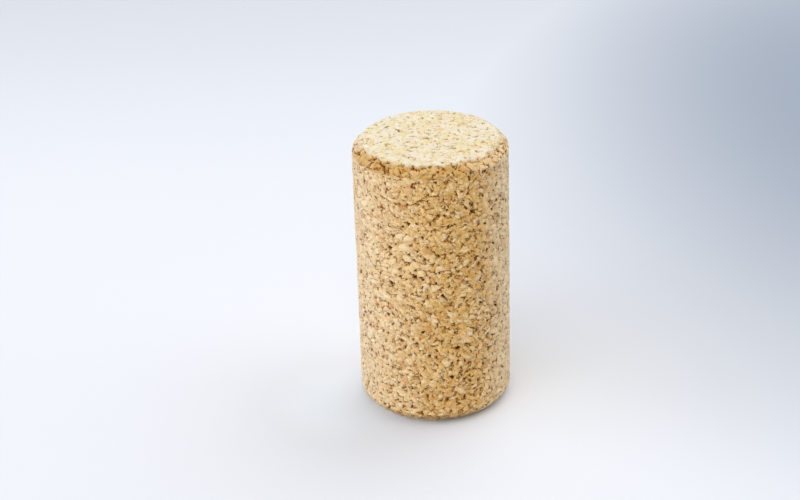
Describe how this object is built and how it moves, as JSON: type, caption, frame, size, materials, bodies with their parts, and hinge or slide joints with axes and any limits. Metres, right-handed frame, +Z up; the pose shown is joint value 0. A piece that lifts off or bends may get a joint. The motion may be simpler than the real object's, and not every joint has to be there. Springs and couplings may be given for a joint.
{
  "type": "cork stopper",
  "caption": "Straight cylindrical stopper of bonded cork granules with open pores and an eased chamfer at both ends, squeezed into a neck to seal it.",
  "frame": {"origin": "centre of the lower end face, which the stopper stands on", "axes": "+Z up along the stopper's axis; the part is round about Z, so X and Y are free"},
  "size_m": [0.024, 0.024, 0.044],
  "materials": {
    "agglomerated_cork": "matte bonded cork granules, tan to cream, with small dark open pores and paler ground ends"
  },
  "bodies": {
    "root": {"cork_stopper": "agglomerated_cork"}
  },
  "joints": []
}
